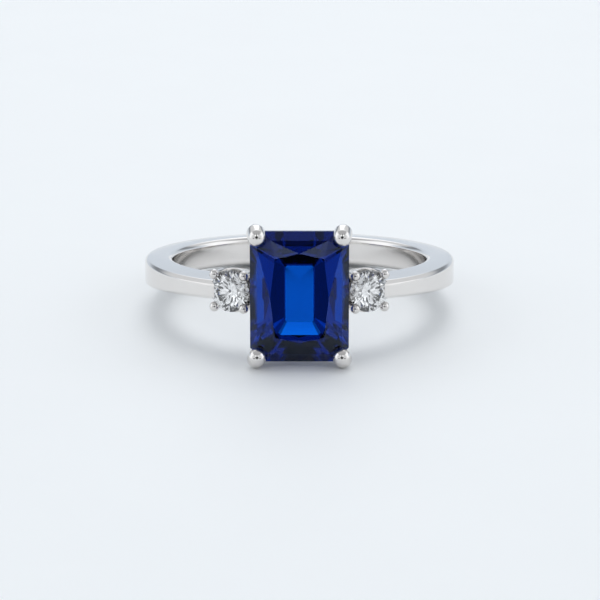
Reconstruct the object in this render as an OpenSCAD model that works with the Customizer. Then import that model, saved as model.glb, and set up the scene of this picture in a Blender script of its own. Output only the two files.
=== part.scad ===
// A three-stone ring: a polished band and three claw settings soldered into one piece of metal, a rectangular
// centre stone and two round side stones. Millimetres.
// The origin is the centre of the finger hole. The stones face -Y. The ring lies on its side, on the tips of the
// two lower claws and the back of the band, so its finger axis leans back from +Z by rest_tilt.

/* [Band] */
// Inside diameter of the band
finger_d = 16.5; // [15.5:0.1:18.5]
// Thickness of the band at its sides and back
band_t = 1.8; // [1.6:0.05:2]
// Width of the band along the finger, at its back
band_w = 1.95; // [1.7:0.05:2.1]
// Width of the band along the finger, under the stones
front_w = 1.65; // [1.5:0.05:1.7]
// Width of the outer face where the shoulders meet the side stones
pinch_w = 0.8; // [0.7:0.05:1]
// Extra thickness of the shoulders
shoulder_rise = 0.2; // [0.1:0.05:0.35]

/* [Centre stone] */
// Width of the stone, around the finger
centre_w = 6; // [5.8:0.1:6.2]
// Length of the stone, along the finger
centre_l = 8; // [7.6:0.1:8.4]
// Distance from the finger hole's centre to the stone's girdle
centre_reach = 10.95; // [10.9:0.05:11.2]
// Radius of each claw's round tip
centre_tip_r = 0.57; // [0.5:0.01:0.6]

/* [Side stones] */
// Diameter of each stone
side_d = 2.6; // [2.4:0.05:2.7]
// Angle around the finger from the centre stone to each side stone
side_angle = 25.5; // [25:0.5:28]
// Distance from the finger hole's centre to each stone's girdle
side_reach = 9.95; // [9.9:0.05:10.2]
// Radius of each claw's round tip
side_tip_r = 0.31; // [0.27:0.01:0.33]

/* [Hidden] */

// The stones clear the metal by this much
gap = 0.03;
finger_r = finger_d / 2;
band_r = finger_r + band_t;

// Rounding of the band's inner and outer edges
rim_r = 0.35;
edge_r = 0.25;
arc_steps = 4;
// Half of the band's mean width
middle = (band_w + front_w) / 4;
// The shoulders are pinched by two pairs of cones, a shallow pair for the sides and a steeper one for the bevel.
// Each is set back from the finger's axis, so that it cuts more towards the stones. A cone is given by its offset,
// its drop for each millimetre outwards, and its height above the pinched face's edge.
side_cone = [2.5, 0.16, 0.13];
bevel_cone = [1.1, 0.54, 0];
pinch_angle = 35;
// The shoulders' circle is cut off this far in front of the finger's axis, and is smaller by a hair than the band's
shoulder_from = 2;
shoulder_less = 0.02;

// Centre stone: heights are from the girdle's upper edge
centre_x = centre_w / 2;
centre_y = centre_l / 2;
centre_corner = 0.85;
centre_girdle = 0.15;
crown_h = 0.75;
crown_break_h = 0.4;
// Crown points as shares of the half width and half length: the table's corners, the middles of its bowed sides,
// and where the outer facets break at the stone's ends and sides
table_corner = [0.493, 0.60];
table_bow = [0.59, 0.683];
break_end = [0.583, 0.867];
break_side = [0.857, 0.757];
// Pavilion tiers: inset from the girdle at the sides and at the ends, depth below it, and length of the cut corner
tiers = [
    [0.97, 0.89, 1.10, 0.60],
    [1.70, 1.51, 1.77, 0.14],
    [2.14, 2.26, 2.38, 0.09],
];
keel_depth = 2.475;
keel_half = 0.88;

// Side stones: shares of the girdle's radius, and angles of a round brilliant cut
side_r = side_d / 2;
table_share = 0.57;
crown_angle = 34.5;
star_angle = 22;
pavilion_angle = 42.3;
lower_share = 0.22;
girdle_share = 0.05;
mains = 8;
half_step = 180 / mains;
quarter_step = half_step / 2;

// Centre claws: wire radius, and where they stand at the lower rail, at the girdle and over the stone's corner
claw_r = 0.36;
knuckle_r = 0.39;
foot = [centre_x - 1.15, centre_y - 1.15, -2.1];
bend = [centre_x - 0.37, centre_y - 0.15, -0.55];
tip = [centre_x - 0.37, centre_y - 0.15, 0];
tip_end = [centre_x - 0.43, centre_y - 0.32, 0.42];
// Rails of the centre setting: outer inset from the girdle, top and bottom
upper_rail = [0.05, -0.45, -0.9];
lower_rail = [0.8, -1.8, -2.45];
rail_bar = 0.5;
rail_corner = 0.6;
rail_inner_corner = 0.42;

// Side settings: a cup with four claws, sunk into the band, with a hole behind the stone
cup_r = side_r + 0.1;
cup_foot_r = side_r - 0.1;
cup_top = -0.5;
cup_foot = finger_r - side_reach - 0.3;
cup_hole_r = 0.75;
side_claw_r = 0.2;
side_claw_at = side_r + 0.13;
side_claw_foot = -1.1;
side_tip_h = 0.1;

// Between the side stones the band is cut down, this wide and this far from the finger's axis
head_half = centre_x + 0.8;
head_floor = centre_reach - 1.75;
// It stops just inside the lower rail, which leaves the centre stone's back open to the finger hole
open_half = centre_x - lower_rail[0] - rail_bar + 0.05;
open_from = 5;

// The ring rests on the two lower centre tips and on the lower outer edge of the band's back
edge_y = band_r - edge_r;
edge_z = -(band_w / 2 - edge_r);
reach_y = edge_y + centre_reach + tip[2];
drop_z = edge_z + tip[1];
rest_tilt = atan2(drop_z, reach_y) + asin((centre_tip_r - edge_r) / norm([reach_y, drop_z]));

far = 20;
metal = [0.80, 0.81, 0.82];
blue = [0.05, 0.16, 0.50];
clear = [0.90, 0.93, 0.96];

// The four mirror images of a point, and a ring of equally spaced points
function mirrored(x, y, z) = [[x, y, z], [-x, y, z], [-x, -y, z], [x, -y, z]];
function circle_points(r, z, count, first = 0) =
    [for (i = [0:count - 1]) let (a = first + i * 360 / count) [r * cos(a), r * sin(a), z]];

// A rectangle's eight corners after its own corners are cut
function cut_corners(x, y, corner, z) = concat(mirrored(x, y - corner, z), mirrored(x - corner, y, z));

module resting() rotate([-rest_tilt, 0, 0]) children();

// Puts a stone's own frame, with its table towards +Z and its length along Y, at an angle around the finger
module seated(angle, reach) rotate([0, 0, angle]) translate([0, -reach, 0]) rotate([90, 0, 0]) children();

// A cut stone is the smallest convex solid around its corner points
module cut_stone(points) hull() polyhedron(points = points, faces = [[for (i = [0:len(points) - 1]) i]]);

module centre_cut(grow = 0) {
    x = centre_x + grow;
    y = centre_y + grow;
    cut_stone(concat(
        // Table
        mirrored(x * table_corner[0], y * table_corner[1], crown_h + grow),
        [for (side = [-1, 1]) [side * x * table_bow[0], 0, crown_h + grow]],
        [for (side = [-1, 1]) [0, side * y * table_bow[1], crown_h + grow]],
        // Crown, where the outer facets break towards the table
        mirrored(x * break_end[0], y * break_end[1], crown_break_h + grow),
        mirrored(x * break_side[0], y * break_side[1], crown_break_h + grow),
        // Girdle
        cut_corners(x, y, centre_corner, 0),
        cut_corners(x, y, centre_corner, -centre_girdle),
        // Pavilion, in tiers down to a keel
        [for (t = tiers) each cut_corners(x - t[0], y - t[1], t[3], -t[2] - grow)],
        [[0, keel_half, -keel_depth - grow], [0, -keel_half, -keel_depth - grow]]
    ));
}

module brilliant_cut(grow = 0) {
    r = side_r + grow;
    table_r = r * table_share;
    crown = (r - table_r) * tan(crown_angle);
    // A star facet runs from the table's edge to where two main facets meet
    star_in = table_r * cos(half_step);
    star_r = (r * tan(crown_angle) - crown - star_in * tan(star_angle))
        / (cos(half_step) * tan(crown_angle) - tan(star_angle));
    star_h = (r - star_r * cos(half_step)) * tan(crown_angle);
    // The girdle dips between the meeting points, where the small facets cut the round outline
    chord = r * cos(quarter_step);
    upper_slope = star_h / (chord - star_r * cos(quarter_step));
    lower_r = r * lower_share;
    lower_h = (r - lower_r * cos(half_step)) * tan(pavilion_angle);
    lower_slope = lower_h / (chord - lower_r * cos(quarter_step));
    girdle = r * girdle_share;
    cut_stone(concat(
        circle_points(table_r, crown, mains),
        circle_points(star_r, star_h, mains, half_step),
        circle_points(r, 0, 2 * mains),
        circle_points(r, -(r - chord) * upper_slope, 2 * mains, quarter_step),
        circle_points(r, -girdle, 2 * mains),
        circle_points(r, -girdle + (r - chord) * lower_slope, 2 * mains, quarter_step),
        circle_points(lower_r, -girdle - lower_h, mains, half_step),
        [[0, 0, -girdle - r * tan(pavilion_angle)]]
    ));
}

// A plain ring with round outer edges
module plain_ring(outer_r) {
    arc = [for (i = [0:arc_steps]) let (a = i * 90 / arc_steps)
        [outer_r - edge_r * (1 - sin(a)), band_w / 2 - edge_r * (1 - cos(a))]];
    under = [for (i = [arc_steps:-1:0]) [arc[i][0], -arc[i][1]]];
    inner_r = finger_r - rim_r;
    rotate_extrude($fn = 180) polygon(concat([[inner_r, band_w / 2]], arc, under, [[inner_r, -band_w / 2]]));
}

// The band is round outside, and its front half follows a second circle set forward, which thickens the shoulders
module band_blank() {
    plain_ring(band_r);
    intersection() {
        translate([0, -shoulder_rise, 0]) plain_ring(band_r - shoulder_less);
        translate([-far, -far, -far]) cube([2 * far, far - shoulder_from, 2 * far]);
    }
}

// Two cones base to base, that pass the pinched face's edge at pinch_angle
module pinch_cones(cone) {
    edge = band_r + shoulder_rise * cos(pinch_angle);
    at_edge = norm([edge * sin(pinch_angle), edge * cos(pinch_angle) + cone[0]]);
    base = at_edge + (pinch_w / 2 + cone[2]) / cone[1];
    top = base - band_w / cone[1];
    translate([0, cone[0], 0]) rotate_extrude($fn = 180)
        polygon([[0, -band_w], [top, -band_w], [base, 0], [top, band_w], [0, band_w]]);
}

// A wedge that narrows the band from its back to the stones
module width_wedge() {
    lean = atan2((band_w - front_w) / 2, 2 * finger_r);
    for (side = [0, 1]) mirror([0, 0, side]) translate([0, 0, middle]) rotate([lean, 0, 0])
        translate([-far, -far, 0]) cube([2 * far, 2 * far, far]);
}

module band() difference() {
    intersection() {
        band_blank();
        pinch_cones(side_cone);
        pinch_cones(bevel_cone);
    }
    width_wedge();
    translate([-head_half, -far, -far]) cube([2 * head_half, far - head_floor, 2 * far]);
    translate([-open_half, -far, -far]) cube([2 * open_half, far - open_from, 2 * far]);
}

// A round wire between two points
module wire(from, to, r) {
    way = to - from;
    translate(from) rotate([0, acos(way[2] / norm(way)), atan2(way[1], way[0])])
        cylinder(h = norm(way), r = r, $fn = 48);
}

module ball(at, r) translate(at) sphere(r = r, $fn = 48);

module cut_rectangle(x, y, corner) polygon([[x, corner - y], [x, y - corner], [x - corner, y], [corner - x, y],
    [-x, y - corner], [-x, corner - y], [corner - x, -y], [x - corner, -y]]);

// A rectangular rail with cut corners, around the stone's axis
module rail(size) {
    x = centre_x - size[0];
    y = centre_y - size[0];
    translate([0, 0, size[2]]) linear_extrude(size[1] - size[2]) difference() {
        cut_rectangle(x, y, rail_corner);
        cut_rectangle(x - rail_bar, y - rail_bar, rail_inner_corner);
    }
}

// One claw of the centre setting: a wire up from the lower rail, and a thicker tip bent over the stone's corner
module centre_claw() {
    wire(foot, bend, claw_r);
    ball(bend, knuckle_r);
    wire(bend, tip, claw_r);
    ball(tip, centre_tip_r);
    wire(tip, tip_end, centre_tip_r);
    ball(tip_end, centre_tip_r);
}

module centre_setting() {
    for (turn = [0, 1], flip = [0, 1]) mirror([turn, 0, 0]) mirror([0, flip, 0]) centre_claw();
    rail(upper_rail);
    rail(lower_rail);
}

module side_setting() {
    translate([0, 0, cup_foot]) cylinder(h = cup_top - cup_foot, r1 = cup_foot_r, r2 = cup_r, $fn = 96);
    for (a = [45:90:315]) rotate([0, 0, a])
        wire([side_claw_at, 0, side_claw_foot], [side_claw_at, 0, side_tip_h], side_claw_r);
    for (a = [45:90:315]) rotate([0, 0, a])
        ball([side_claw_at, 0, side_tip_h], side_tip_r);
}

// What the finger takes up, with rounded rims
module finger_space() {
    arc = [for (i = [0:arc_steps]) let (a = i * 90 / arc_steps)
        [finger_r + rim_r * (1 - cos(a)), middle - rim_r * (1 - sin(a))]];
    under = [for (i = [0:arc_steps]) [arc[i][0], -arc[i][1]]];
    upper = [for (i = [arc_steps:-1:0]) arc[i]];
    rotate_extrude($fn = 180)
        polygon(concat([[0, far], [finger_r + rim_r, far]], upper, under, [[finger_r + rim_r, -far], [0, -far]]));
}

module ring_metal() color(metal) resting() difference() {
    union() {
        band();
        seated(0, centre_reach) centre_setting();
        for (side = [-1, 1]) seated(side * side_angle, side_reach) side_setting();
    }
    finger_space();
    seated(0, centre_reach) centre_cut(gap);
    for (side = [-1, 1]) seated(side * side_angle, side_reach) {
        brilliant_cut(gap);
        translate([0, 0, 2 * cup_foot]) cylinder(h = cup_top - 2 * cup_foot, r = cup_hole_r, $fn = 48);
    }
}

module centre_stone() color(blue) resting() seated(0, centre_reach) centre_cut();

module side_stone_left() color(clear) resting() seated(-side_angle, side_reach) brilliant_cut();

module side_stone_right() color(clear) resting() seated(side_angle, side_reach) brilliant_cut();

ring_metal();
centre_stone();
side_stone_left();
side_stone_right();
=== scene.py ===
# A polished three-stone ring lying on a pale table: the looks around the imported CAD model.
import math

import bmesh
import bpy
from mathutils import Matrix, Vector


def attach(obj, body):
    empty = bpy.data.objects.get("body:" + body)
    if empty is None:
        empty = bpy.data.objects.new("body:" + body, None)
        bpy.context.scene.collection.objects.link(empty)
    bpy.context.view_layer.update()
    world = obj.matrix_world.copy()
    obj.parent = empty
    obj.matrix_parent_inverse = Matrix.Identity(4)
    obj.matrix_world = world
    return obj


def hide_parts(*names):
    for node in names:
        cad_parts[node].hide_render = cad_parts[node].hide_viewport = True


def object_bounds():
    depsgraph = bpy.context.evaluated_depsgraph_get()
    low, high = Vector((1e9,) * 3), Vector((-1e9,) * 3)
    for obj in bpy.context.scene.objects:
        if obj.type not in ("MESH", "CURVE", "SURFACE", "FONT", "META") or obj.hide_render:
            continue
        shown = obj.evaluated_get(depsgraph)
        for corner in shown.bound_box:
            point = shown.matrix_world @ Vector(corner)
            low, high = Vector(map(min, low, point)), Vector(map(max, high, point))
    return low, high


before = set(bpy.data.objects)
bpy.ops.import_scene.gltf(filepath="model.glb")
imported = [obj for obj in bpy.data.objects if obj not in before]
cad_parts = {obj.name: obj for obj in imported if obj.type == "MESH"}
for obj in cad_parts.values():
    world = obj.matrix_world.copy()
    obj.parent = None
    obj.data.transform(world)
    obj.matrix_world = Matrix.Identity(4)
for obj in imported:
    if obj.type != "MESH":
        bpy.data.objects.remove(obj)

cad_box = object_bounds()
scene = bpy.context.scene

# Sizes in millimetres and angles in degrees, as in the CAD model
MM = 0.001

# Band: finger hole, thickness, width at the back and the front, rise of the shoulders' outer face, and the
# rounds of the outer edges and of the finger hole's rims
FINGER_R = 8.25
BAND_T = 1.8
BAND_W = 1.95
FRONT_W = 1.65
SHOULDER_RISE = 0.2
EDGE_R = 0.25
RIM_R = 0.35

# Centre stone: half width, half length, its girdle's distance from the finger's middle, and its cut corners
CENTRE_X = 3.0
CENTRE_Y = 4.0
CENTRE_REACH = 10.95
CENTRE_CORNER = 0.85
CENTRE_GIRDLE = 0.15
CROWN_H = 0.75
CROWN_BREAK_H = 0.4
# Where the table's corners, the middles of its bowed sides and the breaks between the crown's two rows of
# facets lie, as shares of the half width and half length
TABLE_CORNER = (0.493, 0.60)
TABLE_BOW = (0.59, 0.683)
BREAK_END = (0.583, 0.867)
BREAK_SIDE = (0.857, 0.757)
# Pavilion steps: the inset of their sides and ends, their depth, and their cut corners
TIERS = ((0.97, 0.89, 1.10, 0.60), (1.70, 1.51, 1.77, 0.14), (2.14, 2.26, 2.38, 0.09))
KEEL_DEPTH = 2.475
KEEL_HALF = 0.88

# Side stones: radius, the turn from the centre stone to each, and the distance from the finger's middle
SIDE_R = 1.3
SIDE_ANGLE = 25.5
SIDE_REACH = 9.95
# Their facets: shares of the radius, angles to the girdle, and the number of main facets
TABLE_SHARE = 0.57
CROWN_ANGLE = 34.5
STAR_ANGLE = 22
PAVILION_ANGLE = 42.3
LOWER_SHARE = 0.22
GIRDLE_SHARE = 0.05
MAINS = 8

# Room between the metal and a stone
GAP = 0.03

# Centre claws: tip and wire, and one claw's centre line in the stone's own frame
CENTRE_TIP_R = 0.57
CLAW_R = 0.36
CLAW_FOOT = Vector((CENTRE_X - 1.15, CENTRE_Y - 1.15, -2.1))
CLAW_BEND = Vector((CENTRE_X - 0.37, CENTRE_Y - 0.15, -0.55))
CLAW_TIP = Vector((CENTRE_X - 0.37, CENTRE_Y - 0.15, 0.0))
CLAW_END = Vector((CENTRE_X - 0.43, CENTRE_Y - 0.32, 0.42))

# Side settings: claws, then the cup that holds the stone
SIDE_CLAW_R = 0.2
SIDE_TIP_R = 0.31
SIDE_CLAW_AT = SIDE_R + 0.13
SIDE_CLAW_FOOT = -1.1
SIDE_TIP_H = 0.1
CUP_R = SIDE_R + 0.1
CUP_FOOT_R = SIDE_R - 0.1
CUP_TOP = -0.5
CUP_FOOT = -2.0
CUP_HOLE_R = 0.75

# Under the centre stone: how far out the band's bridge reaches, and half the opening in it
BRIDGE_R = CENTRE_REACH - 1.75
OPEN_HALF = 1.75

# Mesh work: points this close become one, and the angles up to which facets become one or look smooth
MERGE_WITHIN = 1e-5
SAME_FACET = math.radians(0.3)
SMOOTH_UP_TO = math.radians(35)

# The ring rests on the two lower centre tips and on the lower outer edge of the band's back
edge_y = FINGER_R + BAND_T - EDGE_R
edge_z = EDGE_R - BAND_W / 2
reach_y = edge_y + CENTRE_REACH
drop_z = edge_z + CLAW_TIP.y
contact_tilt = math.asin((CENTRE_TIP_R - EDGE_R) / math.hypot(reach_y, drop_z))
REST_TILT = math.atan2(drop_z, reach_y) + contact_tilt
RESTING = Matrix.Rotation(-REST_TILT, 4, "X")
FLOOR_Z = cad_box[0].z


def seated(angle, reach):
    """Takes a stone's own frame, table towards +Z and length along Y, to its seat on the resting ring."""
    around = Matrix.Rotation(math.radians(angle), 4, "Z")
    out = Matrix.Translation((0, -reach, 0))
    facing = Matrix.Rotation(math.radians(90), 4, "X")
    return RESTING @ around @ out @ facing


def hex_colour(code):
    """Turns an sRGB hex value into the linear colour that Blender's sockets take."""
    shares = [int(code[i:i + 2], 16) / 255 for i in (1, 3, 5)]
    linear = [s / 12.92 if s <= 0.04045 else ((s + 0.055) / 1.055) ** 2.4 for s in shares]
    return (*linear, 1.0)


def add(tree, kind, inputs=None, **settings):
    """Adds a node with its settings, and fills its inputs or links them, each by its name or number."""
    node = tree.nodes.new(kind)
    for name, value in settings.items():
        setattr(node, name, value)
    for key, value in (inputs or {}).items():
        if isinstance(value, bpy.types.NodeSocket):
            tree.links.new(value, node.inputs[key])
        else:
            node.inputs[key].default_value = value
    return node


# Materials


def new_material(name):
    """An empty node material and its tree."""
    material = bpy.data.materials.new(name)
    material.use_nodes = True
    material.node_tree.nodes.clear()
    return material, material.node_tree


def polished_silver():
    """Sterling silver, buffed to a mirror: a neutral white reflection, softened by fine buffing lines."""
    material, tree = new_material("polished_silver")
    place = add(tree, "ShaderNodeTexCoord").outputs["Object"]
    # Buffing leaves a faint orange-peel ripple about half a millimetre long, and hairlines. Real hairlines
    # are a few thousandths of a millimetre apart. These are 0.04 mm apart, so that they show
    ripple_length = 0.5 * MM
    hairs_to_a_ripple = 12.0
    ripple = add(tree, "ShaderNodeTexNoise", {"Vector": place, "Scale": 1 / ripple_length, "Detail": 2.0})
    lines = add(tree, "ShaderNodeMapping", {"Vector": place, "Scale": (1.0, 1.0, hairs_to_a_ripple)})
    hairs = add(tree, "ShaderNodeTexNoise", {"Vector": lines.outputs[0], "Scale": 1 / ripple_length,
                                             "Detail": 3.0})
    rough = add(tree, "ShaderNodeMapRange", {"Value": hairs.outputs["Fac"], "To Min": 0.10, "To Max": 0.16})
    relief = add(tree, "ShaderNodeBump", {"Height": ripple.outputs["Fac"], "Strength": 0.03,
                                          "Distance": 0.02 * MM})
    tint = add(tree, "ShaderNodeMix", {"Factor": ripple.outputs["Fac"], 6: hex_colour("#E3DFDC"),
                                       7: hex_colour("#E7E4E1")}, data_type="RGBA")
    metal = add(tree, "ShaderNodeBsdfPrincipled", {"Base Color": tint.outputs[2], "Metallic": 1.0,
                                                   "Roughness": rough.outputs[0],
                                                   "Normal": relief.outputs[0]})
    add(tree, "ShaderNodeOutputMaterial", {"Surface": metal.outputs[0]})
    return material


def cut_stone_material(name, ior, gloss="#FFFFFF", tint="#FFFFFF", body=None, density=0.0):
    """A polished cut stone: the colour of its reflections, its tint, and what its depth adds, if any."""
    material, tree = new_material(name)
    glass = add(tree, "ShaderNodeBsdfPrincipled", {"Base Color": hex_colour(tint), "Roughness": 0.0,
                                                   "IOR": ior, "Transmission Weight": 1.0,
                                                   "Specular Tint": hex_colour(gloss)})
    out = add(tree, "ShaderNodeOutputMaterial", {"Surface": glass.outputs[0]})
    if body:
        depth = add(tree, "ShaderNodeVolumeAbsorption", {"Color": hex_colour(body), "Density": density})
        tree.links.new(depth.outputs[0], out.inputs["Volume"])
    return material


def table_paint():
    """Matt white paint under the ring: pale, very slightly blue, with a faint soft sheen."""
    material, tree = new_material("table_paint")
    place = add(tree, "ShaderNodeTexCoord").outputs["Object"]
    # Rolled paint differs faintly in tone over some 8 mm
    mist_size = 8 * MM
    mist = add(tree, "ShaderNodeTexNoise", {"Vector": place, "Scale": 1 / mist_size, "Detail": 2.0})
    tint = add(tree, "ShaderNodeMix", {"Factor": mist.outputs["Fac"], 6: hex_colour("#F3F5F6"),
                                       7: hex_colour("#F5F7F8")}, data_type="RGBA")
    paint = add(tree, "ShaderNodeBsdfPrincipled", {"Base Color": tint.outputs[2], "Roughness": 0.55,
                                                   "Specular IOR Level": 0.2})
    add(tree, "ShaderNodeOutputMaterial", {"Surface": paint.outputs[0]})
    return material


SILVER = polished_silver()
# Sapphire, that is corundum, polished on a lap: IOR 1.77 and sharp reflections, here weakened to match the
# photograph. The tint takes most red and green, and the depth darkens the rest within a few millimetres
SAPPHIRE = cut_stone_material("blue_sapphire", 1.77, gloss="#99A6BC", tint="#1689FF", body="#95D3E7",
                              density=1 / MM)
# Diamond, polished on a lap: IOR 2.42, colourless, with the sharpest and brightest reflections
DIAMOND = cut_stone_material("clear_diamond", 2.417)


# Mesh and Geometry Nodes tools


def mesh_of(points, edges=(), faces=(), **attributes):
    """A mesh with a number or a vector stored on each point, under each attribute's name."""
    mesh = bpy.data.meshes.new("shape")
    mesh.from_pydata(points, edges, faces)
    for name, values in attributes.items():
        vector = hasattr(values[0], "__len__")
        layer = mesh.attributes.new(name, "FLOAT_VECTOR" if vector else "FLOAT", "POINT")
        for item, value in zip(layer.data, values):
            if vector:
                item.vector = value
            else:
                item.value = value
    return mesh


def loop_of(count):
    """The edges of a closed loop of points."""
    return [(i, (i + 1) % count) for i in range(count)]


def chain_of(count):
    """The edges of an open chain of points."""
    return [(i, i + 1) for i in range(count - 1)]


def new_build(name, sizes):
    """A Geometry Nodes tree with a mesh, a material and named sizes as inputs. Whole sizes are counts."""
    tree = bpy.data.node_groups.new(name, "GeometryNodeTree")
    tree.interface.new_socket("Geometry", in_out="OUTPUT", socket_type="NodeSocketGeometry")
    tree.interface.new_socket("Geometry", in_out="INPUT", socket_type="NodeSocketGeometry")
    tree.interface.new_socket("Material", in_out="INPUT", socket_type="NodeSocketMaterial")
    for size, value in sizes.items():
        kind = "NodeSocketInt" if isinstance(value, int) else "NodeSocketFloat"
        tree.interface.new_socket(size, in_out="INPUT", socket_type=kind)
    return tree, add(tree, "NodeGroupInput").outputs


def close_build(tree, given, geometry):
    """Ends a tree in plain smooth geometry with the material that its input names."""
    smooth = add(tree, "GeometryNodeSetShadeSmooth", {"Geometry": geometry})
    real = add(tree, "GeometryNodeRealizeInstances", {"Geometry": smooth.outputs[0]})
    finished = add(tree, "GeometryNodeSetMaterial", {"Geometry": real.outputs[0],
                                                     "Material": given["Material"]})
    add(tree, "NodeGroupOutput", {"Geometry": finished.outputs[0]})
    return tree


def built(name, mesh, tree, sizes, material):
    """Runs a tree on a mesh and gives an object with the result as its plain mesh."""
    piece = bpy.data.objects.new(name, mesh)
    scene.collection.objects.link(piece)
    build = piece.modifiers.new("build", "NODES")
    build.node_group = tree
    given = {**sizes, "Material": material}
    for item in tree.interface.items_tree:
        if item.in_out == "INPUT" and item.name in given:
            build[item.identifier] = given[item.name]
    return settle(piece)


def settle(piece):
    """Turns a piece's modifiers into its plain mesh, with its faces outwards."""
    graph = bpy.context.evaluated_depsgraph_get()
    mesh = bpy.data.meshes.new_from_object(piece.evaluated_get(graph))
    piece.modifiers.clear()
    piece.data = mesh
    work = bmesh.new()
    work.from_mesh(mesh)
    bmesh.ops.remove_doubles(work, verts=work.verts, dist=MERGE_WITHIN)
    bmesh.ops.recalc_face_normals(work, faces=work.faces)
    work.to_mesh(mesh)
    work.free()
    return piece


def carve(piece, points):
    """Cuts the room for a stone, or an opening, out of a piece. It is given by its corner points."""
    cutter = hull_object("cutter", points)
    cut = piece.modifiers.new("seat", "BOOLEAN")
    cut.operation = "DIFFERENCE"
    cut.solver = "EXACT"
    cut.object = cutter
    settle(piece)
    bpy.data.objects.remove(cutter)
    piece.data.set_sharp_from_angle(angle=SMOOTH_UP_TO)


def hull_object(name, points):
    """The smallest convex solid around the points, with its flat facets as whole faces."""
    work = bmesh.new()
    for point in points:
        work.verts.new(point)
    hull = bmesh.ops.convex_hull(work, input=work.verts)
    spare = hull["geom_interior"] + hull["geom_unused"]
    inside = {element for element in spare if isinstance(element, bmesh.types.BMVert)}
    bmesh.ops.delete(work, geom=list(inside), context="VERTS")
    bmesh.ops.dissolve_limit(work, angle_limit=SAME_FACET, verts=work.verts, edges=work.edges)
    bmesh.ops.recalc_face_normals(work, faces=work.faces)
    mesh = bpy.data.meshes.new(name)
    work.to_mesh(mesh)
    work.free()
    solid = bpy.data.objects.new(name, mesh)
    scene.collection.objects.link(solid)
    return solid


def put(piece, place, node):
    """Moves a piece's mesh from millimetres in its own frame to its place, and joins it to the frame."""
    piece.data.transform(Matrix.Scale(MM, 4) @ place)
    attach(piece, "root")
    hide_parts(node)


# Stones


def mirrored(x, y, z):
    """A point and its three mirror images."""
    return [(x, y, z), (-x, y, z), (-x, -y, z), (x, -y, z)]


def cut_corners(x, y, corner, z):
    """A rectangle's eight corners after its own corners are cut."""
    return mirrored(x, y - corner, z) + mirrored(x - corner, y, z)


def circle_points(r, z, count, first=0.0):
    """Equally spaced points on a circle, the first at an angle in degrees."""
    angles = [math.radians(first + i * 360 / count) for i in range(count)]
    return [(r * math.cos(a), r * math.sin(a), z) for a in angles]


def centre_cut(grow=0.0):
    """The centre stone's corners: table, two rows of crown facets, girdle, and steps down to a keel."""
    x = CENTRE_X + grow
    y = CENTRE_Y + grow
    points = mirrored(x * TABLE_CORNER[0], y * TABLE_CORNER[1], CROWN_H + grow)
    points += [(side * x * TABLE_BOW[0], 0, CROWN_H + grow) for side in (-1, 1)]
    points += [(0, side * y * TABLE_BOW[1], CROWN_H + grow) for side in (-1, 1)]
    points += mirrored(x * BREAK_END[0], y * BREAK_END[1], CROWN_BREAK_H + grow)
    points += mirrored(x * BREAK_SIDE[0], y * BREAK_SIDE[1], CROWN_BREAK_H + grow)
    points += cut_corners(x, y, CENTRE_CORNER, 0)
    points += cut_corners(x, y, CENTRE_CORNER, -CENTRE_GIRDLE)
    for side_inset, end_inset, depth, corner in TIERS:
        points += cut_corners(x - side_inset, y - end_inset, corner, -depth - grow)
    points += [(0, KEEL_HALF, -KEEL_DEPTH - grow), (0, -KEEL_HALF, -KEEL_DEPTH - grow)]
    return points


def brilliant_cut(grow=0.0):
    """The corners of a round brilliant cut: table, stars, mains, scalloped girdle and pavilion's point."""
    half_step = 180 / MAINS
    half = math.radians(half_step)
    quarter = half / 2
    r = SIDE_R + grow
    table_r = r * TABLE_SHARE
    slope = math.tan(math.radians(CROWN_ANGLE))
    star = math.tan(math.radians(STAR_ANGLE))
    under = math.tan(math.radians(PAVILION_ANGLE))
    crown = (r - table_r) * slope
    # The stars end where their planes and the mains' planes are equally high
    star_r = (r * slope - crown - table_r * math.cos(half) * star) / (math.cos(half) * slope - star)
    star_h = (r - star_r * math.cos(half)) * slope
    chord = r * math.cos(quarter)
    upper_slope = star_h / (chord - star_r * math.cos(quarter))
    lower_r = r * LOWER_SHARE
    lower_h = (r - lower_r * math.cos(half)) * under
    lower_slope = lower_h / (chord - lower_r * math.cos(quarter))
    girdle = r * GIRDLE_SHARE
    points = circle_points(table_r, crown, MAINS)
    points += circle_points(star_r, star_h, MAINS, half_step)
    points += circle_points(r, 0, 2 * MAINS)
    points += circle_points(r, -(r - chord) * upper_slope, 2 * MAINS, half_step / 2)
    points += circle_points(r, -girdle, 2 * MAINS)
    points += circle_points(r, -girdle + (r - chord) * lower_slope, 2 * MAINS, half_step / 2)
    points += circle_points(lower_r, -girdle - lower_h, MAINS, half_step)
    points += [(0, 0, -girdle - r * under)]
    return points


def cut_stone(name, points, place, material):
    """A faceted stone in its seat."""
    stone = hull_object(name + "_cut", points)
    stone.data.materials.append(material)
    put(stone, place, name)


centre_place = seated(0, CENTRE_REACH)
side_places = {"left": seated(-SIDE_ANGLE, SIDE_REACH), "right": seated(SIDE_ANGLE, SIDE_REACH)}
cut_stone("centre_stone", centre_cut(), centre_place, SAPPHIRE)
for hand, side_place in side_places.items():
    cut_stone("side_stone_" + hand, brilliant_cut(), side_place, DIAMOND)


# Band

BAND_SIZES = {
    "Finger radius": FINGER_R,
    "Thickness": BAND_T,
    "Shoulder rise": SHOULDER_RISE,
    "Back half width": BAND_W / 2,
    "Front half width": FRONT_W / 2,
    "Shoulder starts": math.radians(95),
    "Shoulder full": math.radians(30),
    "Bridge radius": BRIDGE_R,
    "Bridge ends": math.radians(22.5),
    "Stations": 480,
}


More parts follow.
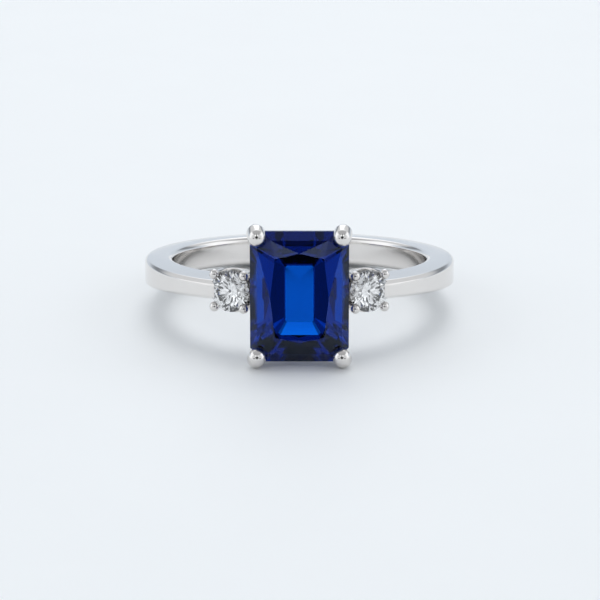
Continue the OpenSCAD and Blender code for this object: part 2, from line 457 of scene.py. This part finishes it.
def band_section():
    """The band's closed section. Each point holds where it is on the plain band and on the full shoulder:
    its distance from the inner or outer face, its share of the half width, and what is added to that."""
    steps = 10
    turns = [math.radians(90 * i / steps) for i in range(steps + 1)]
    corner = [(-EDGE_R * (1 - math.sin(a)), -EDGE_R * (1 - math.cos(a))) for a in reversed(turns)]
    # On the shoulder, the rounded corner becomes the outer face's edge, a flat bevel and the side's edge
    bevel = [(0.0, 0.37), (-0.003, 0.385), (-0.013, 0.400), (-0.032, 0.413),
             (-0.10, 0.449), (-0.185, 0.495), (-0.27, 0.541),
             (-0.32, 0.567), (-0.345, 0.579), (-0.37, 0.586), (-0.41, 0.593)]
    rim = [(RIM_R * (1 - math.cos(a)), -RIM_R * (1 - math.sin(a))) for a in reversed(turns)]
    # Each entry: face (1 outer, 0 inner), plain place, shoulder place
    half = [(1, (0, 0, 0), (0, 0, 0)), (1, (0, 0.4, 0), (0, 0, 0.2))]
    half += [(1, (c[0], 1, c[1]), (b[0], 0, b[1])) for c, b in zip(corner, bevel)]
    half += [(1, (-0.7, 1, 0), (-0.9, 0, 0.675))]
    half += [(0, (r[0], 1, r[1]), (r[0], 1, r[1])) for r in rim]
    half += [(0, (0, 0.4, 0), (0, 0.4, 0)), (0, (0, 0, 0), (0, 0, 0))]
    rows = [(face, plain, full, 1.0) for face, plain, full in half]
    rows += [(face, plain, full, -1.0) for face, plain, full in reversed(half[1:-1])]
    count = len(rows)
    return mesh_of(circle_points(1.0, 0, count), loop_of(count),
                   face=[float(row[0]) for row in rows], plain=[row[1] for row in rows],
                   full=[row[2] for row in rows], side=[row[3] for row in rows])


def band_build():
    """Sweeps the section round the finger, and turns the band into the shoulders towards the stones."""
    # The bridge's flat is followed to 60 degrees from the stones, and let go within 0.03 radians by 5 mm
    least_cosine = 0.5
    let_go_over = 0.03
    let_go_by = 5.0
    tree, given = new_build("band_build", BAND_SIZES)
    section = add(tree, "GeometryNodeMeshToCurve", {"Mesh": given["Geometry"]})
    path = add(tree, "GeometryNodeCurvePrimitiveCircle", {"Resolution": given["Stations"],
                                                          "Radius": given["Finger radius"]})
    step = add(tree, "ShaderNodeMath", {0: math.tau, 1: given["Stations"]}, operation="DIVIDE")
    number = add(tree, "GeometryNodeInputIndex")
    angle = add(tree, "ShaderNodeMath", {0: number.outputs[0], 1: step.outputs[0]}, operation="MULTIPLY")
    marked = add(tree, "GeometryNodeStoreNamedAttribute", {"Geometry": path.outputs[0], "Name": "turn",
                                                           "Value": angle.outputs[0]})
    swept = add(tree, "GeometryNodeCurveToMesh", {"Curve": marked.outputs[0],
                                                  "Profile Curve": section.outputs[0]})
    turn = add(tree, "GeometryNodeInputNamedAttribute", {"Name": "turn"}).outputs[0]
    face = add(tree, "GeometryNodeInputNamedAttribute", {"Name": "face"}).outputs[0]
    side = add(tree, "GeometryNodeInputNamedAttribute", {"Name": "side"}).outputs[0]
    plain = add(tree, "GeometryNodeInputNamedAttribute", {"Name": "plain"},
                data_type="FLOAT_VECTOR").outputs[0]
    full = add(tree, "GeometryNodeInputNamedAttribute", {"Name": "full"},
               data_type="FLOAT_VECTOR").outputs[0]
    # Angle from the stones, the same on both sides, and from it the share of shoulder and the half width
    past = add(tree, "ShaderNodeMath", {0: turn, 1: math.pi}, operation="SUBTRACT")
    apart = add(tree, "ShaderNodeMath", {0: past.outputs[0]}, operation="ABSOLUTE")
    away = add(tree, "ShaderNodeMath", {0: math.pi, 1: apart.outputs[0]}, operation="SUBTRACT").outputs[0]
    share = add(tree, "ShaderNodeMapRange", {"Value": away, "From Min": given["Shoulder starts"],
                                             "From Max": given["Shoulder full"]},
                interpolation_type="SMOOTHSTEP").outputs[0]
    ahead = add(tree, "ShaderNodeMath", {0: away}, operation="COSINE").outputs[0]
    half = add(tree, "ShaderNodeMapRange", {"Value": ahead, "From Min": 1.0, "From Max": -1.0,
                                            "To Min": given["Front half width"],
                                            "To Max": given["Back half width"]}).outputs[0]
    spot = add(tree, "ShaderNodeMix", {0: share, 4: plain, 5: full}, data_type="VECTOR")
    parts = add(tree, "ShaderNodeSeparateXYZ", {0: spot.outputs[1]}).outputs
    # Radius: the inner face, plus the thickness with the shoulder's rise on the outer face, plus the offset
    rise = add(tree, "ShaderNodeMath", {0: share, 1: given["Shoulder rise"], 2: given["Thickness"]},
               operation="MULTIPLY_ADD")
    wall = add(tree, "ShaderNodeMath", {0: face, 1: rise.outputs[0], 2: parts["X"]},
               operation="MULTIPLY_ADD")
    full_r = add(tree, "ShaderNodeMath", {0: wall.outputs[0], 1: given["Finger radius"]}, operation="ADD")
    # Under the centre stone the band is cut down to a flat bridge
    level = add(tree, "ShaderNodeMath", {0: ahead, 1: least_cosine}, operation="MAXIMUM")
    bridge = add(tree, "ShaderNodeMath", {0: given["Bridge radius"], 1: level.outputs[0]},
                 operation="DIVIDE")
    past_end = add(tree, "ShaderNodeMath", {0: given["Bridge ends"], 1: let_go_over}, operation="ADD")
    beyond = add(tree, "ShaderNodeMapRange", {"Value": away, "From Min": given["Bridge ends"],
                                              "From Max": past_end.outputs[0], "To Max": let_go_by})
    limit = add(tree, "ShaderNodeMath", {0: bridge.outputs[0], 1: beyond.outputs[0]}, operation="ADD")
    radius = add(tree, "ShaderNodeMath", {0: full_r.outputs[0], 1: limit.outputs[0]},
                 operation="MINIMUM").outputs[0]
    # Place of each point
    width = add(tree, "ShaderNodeMath", {0: half, 1: parts["Y"], 2: parts["Z"]}, operation="MULTIPLY_ADD")
    height = add(tree, "ShaderNodeMath", {0: width.outputs[0], 1: side}, operation="MULTIPLY")
    sine = add(tree, "ShaderNodeMath", {0: turn}, operation="SINE")
    across = add(tree, "ShaderNodeMath", {0: sine.outputs[0], 1: radius}, operation="MULTIPLY")
    back = add(tree, "ShaderNodeMath", {0: ahead, 1: radius}, operation="MULTIPLY")
    front = add(tree, "ShaderNodeMath", {0: back.outputs[0], 1: -1.0}, operation="MULTIPLY")
    at = add(tree, "ShaderNodeCombineXYZ", {"X": across.outputs[0], "Y": front.outputs[0],
                                            "Z": height.outputs[0]})
    moved = add(tree, "GeometryNodeSetPosition", {"Geometry": swept.outputs[0], "Position": at.outputs[0]})
    return close_build(tree, given, moved.outputs[0])


def in_ring(place, points):
    """Points of a stone's own frame, in the ring's frame before it rests."""
    to_ring = RESTING.inverted() @ place
    return [to_ring @ Vector(point) for point in points]


band = built("band", band_section(), band_build(), BAND_SIZES, SILVER)
carve(band, in_ring(centre_place, centre_cut(GAP)))
# Behind the centre stone the band is open, so that light reaches the stone through the finger hole. The
# cutter is as wide as the opening, and reaches past the metal along Y and Z
open_x = (-OPEN_HALF, OPEN_HALF)
open_y = (-BRIDGE_R - 0.5, -FINGER_R + 1.0)
open_z = (-BAND_W, BAND_W)
carve(band, [(x, y, z) for x in open_x for y in open_y for z in open_z])
for side_place in side_places.values():
    carve(band, in_ring(side_place, brilliant_cut(GAP)))
put(band, RESTING, "ring_metal")


# Centre setting

RAIL_SIZES = {"Width": 2 * CENTRE_X, "Length": 2 * CENTRE_Y, "Corner": 0.9, "Corner steps": 8}
RAIL_ROUND = 0.07


def rail_build():
    """Sweeps a section, given as inset and height, round a rectangle with round corners."""
    tree, given = new_build("rail_build", RAIL_SIZES)
    section = add(tree, "GeometryNodeMeshToCurve", {"Mesh": given["Geometry"]})
    outline = add(tree, "GeometryNodeCurvePrimitiveQuadrilateral", {"Width": given["Width"],
                                                                    "Height": given["Length"]})
    corners = add(tree, "GeometryNodeFilletCurve", {"Curve": outline.outputs[0],
                                                    "Count": given["Corner steps"],
                                                    "Radius": given["Corner"]}, mode="POLY")
    tangent = add(tree, "GeometryNodeInputTangent")
    outward = add(tree, "ShaderNodeVectorMath", {0: tangent.outputs[0], 1: (0, 0, 1)},
                  operation="CROSS_PRODUCT")
    facing = add(tree, "GeometryNodeStoreNamedAttribute", {"Geometry": corners.outputs[0],
                                                           "Name": "outward", "Value": outward.outputs[0]},
                 data_type="FLOAT_VECTOR")
    here = add(tree, "GeometryNodeInputPosition")
    path = add(tree, "GeometryNodeStoreNamedAttribute", {"Geometry": facing.outputs[0], "Name": "anchor",
                                                         "Value": here.outputs[0]},
               data_type="FLOAT_VECTOR")
    swept = add(tree, "GeometryNodeCurveToMesh", {"Curve": path.outputs[0],
                                                  "Profile Curve": section.outputs[0]})
    out = add(tree, "GeometryNodeInputNamedAttribute", {"Name": "outward"},
              data_type="FLOAT_VECTOR").outputs[0]
    anchor = add(tree, "GeometryNodeInputNamedAttribute", {"Name": "anchor"},
                 data_type="FLOAT_VECTOR").outputs[0]
    inset = add(tree, "GeometryNodeInputNamedAttribute", {"Name": "inset"}).outputs[0]
    height = add(tree, "GeometryNodeInputNamedAttribute", {"Name": "height"}).outputs[0]
    inward = add(tree, "ShaderNodeMath", {0: inset, 1: -1.0}, operation="MULTIPLY")
    shift = add(tree, "ShaderNodeVectorMath", {0: out, "Scale": inward.outputs[0]}, operation="SCALE")
    level = add(tree, "ShaderNodeVectorMath", {0: anchor, 1: shift.outputs[0]}, operation="ADD")
    up = add(tree, "ShaderNodeCombineXYZ", {"Z": height})
    at = add(tree, "ShaderNodeVectorMath", {0: level.outputs[0], 1: up.outputs[0]}, operation="ADD")
    moved = add(tree, "GeometryNodeSetPosition", {"Geometry": swept.outputs[0], "Position": at.outputs[0]})
    return close_build(tree, given, moved.outputs[0])


def rounded(corners, r, steps=4):
    """A closed outline's points after each of its corners is rounded off, starting r away from it."""
    points = []
    count = len(corners)
    for i in range(count):
        here = Vector(corners[i])
        before = (Vector(corners[i - 1]) - here).normalized()
        after = (Vector(corners[(i + 1) % count]) - here).normalized()
        start = here + before * r
        end = here + after * r
        for step in range(steps + 1):
            t = step / steps
            points.append(start * (1 - t) ** 2 + here * 2 * t * (1 - t) + end * t ** 2)
    return points


def rail(name, corners):
    """A rail of the centre setting, from its section's corners as insets and heights."""
    outline = rounded(corners, RAIL_ROUND)
    section = mesh_of([(p.x, p.y, 0) for p in outline], loop_of(len(outline)),
                      inset=[p.x for p in outline], height=[p.y for p in outline])
    piece = built(name, section, RAIL_BUILD, RAIL_SIZES, SILVER)
    put(piece, centre_place, "ring_metal")


RAIL_BUILD = rail_build()
# The upper rail's inner side leans with the stone's pavilion, which sits in it
rail("upper_rail", [(0.05, -0.45), (0.27, -0.45), (0.62, -0.9), (0.05, -0.9)])
rail("lower_rail", [(0.8, -1.8), (1.3, -1.8), (1.3, -2.45), (0.8, -2.45)])

CLAW_SIZES = {"Sides": 48}
# Length of a wire's steps, degrees between a round tip's rings, the radius at its pole, and the least gap
# between the wire's last ring and the tip's first
WIRE_STEP = 0.12
TIP_STEP = 6
POLE_R = 0.002
RING_GAP = 0.04


def claws_build():
    """Gives a claw's centre line its thickness, and mirrors the claw to all four corners of a stone."""
    tree, given = new_build("claws_build", CLAW_SIZES)
    line = add(tree, "GeometryNodeMeshToCurve", {"Mesh": given["Geometry"]})
    circle = add(tree, "GeometryNodeCurvePrimitiveCircle", {"Resolution": given["Sides"], "Radius": 1.0})
    thickness = add(tree, "GeometryNodeInputNamedAttribute", {"Name": "thickness"}).outputs[0]
    claw = add(tree, "GeometryNodeCurveToMesh", {"Curve": line.outputs[0],
                                                 "Profile Curve": circle.outputs[0],
                                                 "Scale": thickness, "Fill Caps": True})
    across = add(tree, "GeometryNodeTransform", {"Geometry": claw.outputs[0], "Scale": (-1, 1, 1)})
    pair = add(tree, "GeometryNodeJoinGeometry", {"Geometry": claw.outputs[0]})
    tree.links.new(across.outputs[0], pair.inputs[0])
    along = add(tree, "GeometryNodeTransform", {"Geometry": pair.outputs[0], "Scale": (1, -1, 1)})
    four = add(tree, "GeometryNodeJoinGeometry", {"Geometry": pair.outputs[0]})
    tree.links.new(along.outputs[0], four.inputs[0])
    return close_build(tree, given, four.outputs[0])


def claw_line(points, wire_r, tip_from, tip_to, tip_r):
    """A claw's centre line with its thickness: a wire through the points, and a round-ended tip."""
    line = []
    for start, end in zip(points, points[1:]):
        steps = max(2, round((end - start).length / WIRE_STEP))
        line += [(start.lerp(end, i / steps), wire_r) for i in range(steps)]
    way = (tip_to - tip_from).normalized()
    length = (tip_to - tip_from).length
    # The tip starts where its round end is as thick as the wire
    first = -math.sqrt(tip_r ** 2 - wire_r ** 2)
    tip = []
    for degrees in range(0, 181, TIP_STEP):
        angle = math.radians(degrees)
        along = -tip_r * math.cos(angle)
        if along < first:
            continue
        place = along if along < 0 else along + length
        tip.append((tip_from + way * place, max(tip_r * math.sin(angle), POLE_R)))
    line = [entry for entry in line if (entry[0] - tip_from).dot(way) < first - RING_GAP]
    return line + tip


def claws(name, line, place, seat):
    """Four claws around a stone, cut to its seat."""
    mesh = mesh_of([entry[0] for entry in line], chain_of(len(line)),
                   thickness=[entry[1] for entry in line])
    piece = built(name, mesh, CLAWS_BUILD, CLAW_SIZES, SILVER)
    carve(piece, seat)
    put(piece, place, "ring_metal")


CLAWS_BUILD = claws_build()
centre_line = claw_line([CLAW_FOOT, CLAW_BEND, CLAW_TIP], CLAW_R, CLAW_TIP, CLAW_END, CENTRE_TIP_R)
claws("centre_claws", centre_line, centre_place, centre_cut(GAP))


# Side settings

# The cup's foot ends this far outside the finger hole's wall
FOOT_BACK = 0.02
CUP_SIZES = {"Finger radius": FINGER_R + FOOT_BACK, "Reach": SIDE_REACH, "Sides": 96}
CUP_ROUND = 0.06


def cup_build():
    """Turns a section, given as radius and height, round the stone, and trims it to the finger hole."""
    tree, given = new_build("cup_build", CUP_SIZES)
    section = add(tree, "GeometryNodeMeshToCurve", {"Mesh": given["Geometry"]})
    path = add(tree, "GeometryNodeCurvePrimitiveCircle", {"Resolution": given["Sides"], "Radius": 1.0})
    here = add(tree, "GeometryNodeInputPosition")
    marked = add(tree, "GeometryNodeStoreNamedAttribute", {"Geometry": path.outputs[0], "Name": "outward",
                                                           "Value": here.outputs[0]},
                 data_type="FLOAT_VECTOR")
    swept = add(tree, "GeometryNodeCurveToMesh", {"Curve": marked.outputs[0],
                                                  "Profile Curve": section.outputs[0]})
    out = add(tree, "GeometryNodeInputNamedAttribute", {"Name": "outward"},
              data_type="FLOAT_VECTOR").outputs[0]
    distance = add(tree, "GeometryNodeInputNamedAttribute", {"Name": "distance"}).outputs[0]
    height = add(tree, "GeometryNodeInputNamedAttribute", {"Name": "height"}).outputs[0]
    level = add(tree, "ShaderNodeVectorMath", {0: out, "Scale": distance}, operation="SCALE")
    # The finger hole's wall lies at the root of its radius squared less the sideways distance squared
    flat = add(tree, "ShaderNodeSeparateXYZ", {0: level.outputs[0]}).outputs
    side = add(tree, "ShaderNodeMath", {0: flat["X"], 1: flat["X"]}, operation="MULTIPLY")
    round_wall = add(tree, "ShaderNodeMath", {0: given["Finger radius"], 1: given["Finger radius"]},
                     operation="MULTIPLY")
    left = add(tree, "ShaderNodeMath", {0: round_wall.outputs[0], 1: side.outputs[0]},
               operation="SUBTRACT")
    wall = add(tree, "ShaderNodeMath", {0: left.outputs[0]}, operation="SQRT")
    lowest = add(tree, "ShaderNodeMath", {0: wall.outputs[0], 1: given["Reach"]}, operation="SUBTRACT")
    trimmed = add(tree, "ShaderNodeMath", {0: height, 1: lowest.outputs[0]}, operation="MAXIMUM")
    up = add(tree, "ShaderNodeCombineXYZ", {"Z": trimmed.outputs[0]})
    at = add(tree, "ShaderNodeVectorMath", {0: level.outputs[0], 1: up.outputs[0]}, operation="ADD")
    moved = add(tree, "GeometryNodeSetPosition", {"Geometry": swept.outputs[0], "Position": at.outputs[0]})
    return close_build(tree, given, moved.outputs[0])


def cup_section():
    """The side setting's cup: a flared wall, a narrow top, and a seat that follows the stone's pavilion."""
    slope = math.tan(math.radians(PAVILION_ANGLE))
    seat_top = SIDE_R - (-CUP_TOP - SIDE_R * GIRDLE_SHARE - GAP) / slope
    seat_foot = CUP_TOP - (seat_top - CUP_HOLE_R) * slope
    corners = [(CUP_R, CUP_TOP), (seat_top, CUP_TOP), (CUP_HOLE_R, seat_foot - GAP),
               (CUP_HOLE_R, CUP_FOOT), (CUP_FOOT_R, CUP_FOOT)]
    outline = rounded(corners, CUP_ROUND)
    return mesh_of([(p.x, p.y, 0) for p in outline], loop_of(len(outline)),
                   distance=[p.x for p in outline], height=[p.y for p in outline])


CUP_BUILD = cup_build()
# Each claw stands upright at 45 degrees round the stone and ends in a ball
out_45 = SIDE_CLAW_AT * math.sqrt(0.5)
ball_length = 0.001
side_foot = Vector((out_45, out_45, SIDE_CLAW_FOOT))
side_top = Vector((out_45, out_45, SIDE_TIP_H))
side_end = Vector((out_45, out_45, SIDE_TIP_H + ball_length))
side_line = claw_line([side_foot, side_top], SIDE_CLAW_R, side_top, side_end, SIDE_TIP_R)
for hand, side_place in side_places.items():
    cup = built("side_cup_" + hand, cup_section(), CUP_BUILD, CUP_SIZES, SILVER)
    put(cup, side_place, "ring_metal")
    claws("side_claws_" + hand, side_line, side_place, brilliant_cut(GAP))


# Stage: the table, the camera and the light

# The table's edges in metres from the ring. It ends near in front and behind, because the centre stone and
# the band's upper face mirror the white tent past its ends
TABLE_SIDE = 0.6
TABLE_FRONT = -0.09
TABLE_BACK = 0.18
table_corners = [(-TABLE_SIDE, TABLE_FRONT, FLOOR_Z), (TABLE_SIDE, TABLE_FRONT, FLOOR_Z),
                 (TABLE_SIDE, TABLE_BACK, FLOOR_Z), (-TABLE_SIDE, TABLE_BACK, FLOOR_Z)]
table = bpy.data.objects.new("table", mesh_of(table_corners, faces=[(0, 1, 2, 3)]))
table.data.materials.append(table_paint())
scene.collection.objects.link(table)

# Camera, matched to the photograph: the finger hole is 252.2 of its 600 pixels wide, its outline looks
# tilted by 9 degrees, and the middle of the hole is at this pixel
PICTURE = 600
HOLE_PIXELS = 252.2
HOLE_TILT = math.radians(9)
RING_PIXEL = (299.4, 268.3)
SENSOR = 36
CAMERA_DISTANCE = 145 * MM
rise = HOLE_TILT + REST_TILT
focal_pixels = HOLE_PIXELS / (2 * FINGER_R * MM) * CAMERA_DISTANCE
pitch = math.atan((PICTURE / 2 - RING_PIXEL[1]) / focal_pixels)
yaw = math.atan((RING_PIXEL[0] - PICTURE / 2) / focal_pixels)
camera = bpy.data.objects.new("camera", bpy.data.cameras.new("camera"))
camera.data.sensor_width = SENSOR
camera.data.lens = focal_pixels / PICTURE * SENSOR
camera.data.clip_start = 0.005
camera.data.clip_end = 10
camera.location = Vector((0, -math.cos(rise), math.sin(rise))) * CAMERA_DISTANCE
camera.rotation_euler = (math.radians(90) - rise - pitch, 0, yaw)
scene.collection.objects.link(camera)
scene.camera = camera


# Dark things in the tent's front, the same on the left and the right: the turn and height of the middle in
# degrees, half the width and half the height for a distance of 1, and the share of the light that is left
LENS = (0, 17, 0.34, 0.27, 0.06)
SLIT = (0, 26, 0.11, 0.56, 0.12)
STAND = (0, 0, 0.2, 0.06, 0.35)
GAP_BESIDE = (36, 4, 0.2, 0.1, 0.2)
# Where the bright panel is, behind and above the ring
PANEL = Vector((0, 0.82, 0.57))
TENT_LIGHT = 1.28


def soft_patch(tree, edges):
    """Where a patch of the tent is, from 0 outside it to 1 inside it. Each of its edges is a measure, what
    that is where the patch begins, and what it is where the patch is full."""
    inside = 1.0
    for measure, begins, full in edges:
        edge = add(tree, "ShaderNodeMapRange", {"Value": measure, "From Min": begins, "From Max": full},
                   interpolation_type="SMOOTHSTEP")
        inside = add(tree, "ShaderNodeMath", {0: inside, 1: edge.outputs[0]},
                     operation="MULTIPLY").outputs[0]
    return inside


def lit(tree, light, patches):
    """The tent's light after each patch adds its share of it, or takes it away if the share is negative."""
    whole = 1.0
    for share, patch in patches:
        whole = add(tree, "ShaderNodeMath", {0: patch, 1: share, 2: whole},
                    operation="MULTIPLY_ADD").outputs[0]
    return add(tree, "ShaderNodeMath", {0: light, 1: whole}, operation="MULTIPLY").outputs[0]


def studio():
    """A white tent round the ring: a bright panel behind, grey beside it, and a dark slit for the lens."""
    world = bpy.data.worlds.new("studio")
    scene.world = world
    world.use_nodes = True
    tree = world.node_tree
    tree.nodes.clear()
    way = add(tree, "ShaderNodeTexCoord").outputs["Generated"]
    parts = add(tree, "ShaderNodeSeparateXYZ", {0: way}).outputs
    back = parts["Y"]
    up = parts["Z"]
    aside = add(tree, "ShaderNodeMath", {0: parts["X"]}, operation="ABSOLUTE").outputs[0]
    light = lit(tree, TENT_LIGHT, [(0.016, soft_patch(tree, [(up, -0.1, 0.9)]))])
    # Behind the ring the tent is dimmer near the table, and grey on both sides of the panel
    behind = (back, 0.05, 0.3)
    ahead = add(tree, "ShaderNodeMath", {0: back, 1: 0.01}, operation="MAXIMUM")
    slant = add(tree, "ShaderNodeMath", {0: aside, 1: ahead.outputs[0]}, operation="DIVIDE").outputs[0]
    near_table = soft_patch(tree, [behind, (up, 0.46, 0.34)])
    beside_panel = soft_patch(tree, [behind, (slant, 0.28, 0.4), (slant, 2.2, 1.2), (up, 0.85, 0.68),
                                     (up, 0.1, 0.3)])
    light = lit(tree, light, [(-0.4, near_table), (-0.4, beside_panel)])
    # In front it gets less light, apart from its middle above the table
    light = lit(tree, light, [(-0.25, soft_patch(tree, [(back, -0.1, -0.6)]))])
    above_table = [(back, -0.3, -0.5), (up, 0.15, 0.3)]
    light = lit(tree, light, [(0.6, soft_patch(tree, above_table)),
                              (-0.8, soft_patch(tree, above_table + [(aside, 0.2, 0.36)]))])
    # Its roof is dim, except at the back
    roof = lit(tree, 1.0, [(-0.6, soft_patch(tree, [(up, 0.66, 0.8)]))])
    roof = add(tree, "ShaderNodeMath", {0: roof, 1: soft_patch(tree, [(back, 0.3, 0.5)])},
               operation="MAXIMUM")
    light = add(tree, "ShaderNodeMath", {0: light, 1: roof.outputs[0]}, operation="MULTIPLY").outputs[0]
    facing = add(tree, "ShaderNodeVectorMath", {0: way, 1: PANEL}, operation="DOT_PRODUCT").outputs["Value"]
    light = lit(tree, light, [(0.25, soft_patch(tree, [(facing, 0.94, 0.985), (aside, 0.3, 0.2)]))])
    same_sides = add(tree, "ShaderNodeCombineXYZ", {"X": aside, "Y": back, "Z": up})
    for turn, level, wide, high, left in (LENS, SLIT, STAND, GAP_BESIDE):
        turn = math.radians(turn)
        level = math.radians(level)
        middle = (math.sin(turn) * math.cos(level), -math.cos(turn) * math.cos(level), math.sin(level))
        off = add(tree, "ShaderNodeVectorMath", {0: same_sides.outputs[0], 1: middle},
                  operation="SUBTRACT")
        off = add(tree, "ShaderNodeVectorMath", {0: off.outputs[0], 1: (1 / wide, 1, 1 / high)},
                  operation="MULTIPLY")
        off = add(tree, "ShaderNodeVectorMath", {0: off.outputs[0]}, operation="LENGTH").outputs["Value"]
        light = lit(tree, light, [(left - 1, soft_patch(tree, [(off, 1.15, 0.85)]))])
    # A cool tint, cooler in the dim part behind the ring and near the table
    tint = add(tree, "ShaderNodeMix", {"Factor": near_table, 4: (0.96, 0.995, 1.035),
                                       5: (0.90, 1.0, 1.12)}, data_type="VECTOR").outputs[1]
    colour = add(tree, "ShaderNodeVectorMath", {0: tint, "Scale": light}, operation="SCALE")
    reflected = add(tree, "ShaderNodeBackground", {"Color": colour.outputs[0]})
    # Past the table's edges, the camera sees an even tone like the table's
    seen = add(tree, "ShaderNodeBackground", {"Color": hex_colour("#EEF3F7")})
    path = add(tree, "ShaderNodeLightPath")
    both = add(tree, "ShaderNodeMixShader", {0: path.outputs["Is Camera Ray"], 1: reflected.outputs[0],
                                             2: seen.outputs[0]})
    add(tree, "ShaderNodeOutputWorld", {"Surface": both.outputs[0]})


def soft_light(name, towards, distance, size, power):
    """A square soft light that faces the ring, and that the metal and the stones don't mirror."""
    data = bpy.data.lights.new(name, "AREA")
    data.shape = "SQUARE"
    data.size = size
    data.energy = power
    lamp = bpy.data.objects.new(name, data)
    lamp.location = Vector(towards).normalized() * distance
    lamp.visible_glossy = False
    lamp.rotation_mode = "QUATERNION"
    lamp.rotation_quaternion = Vector(towards).to_track_quat("Z", "Y")
    scene.collection.objects.link(lamp)


studio()
soft_light("top_light", towards=(0.05, 0.3, 1), distance=0.4, size=0.22, power=0.38)
scene.view_settings.view_transform = "Standard"
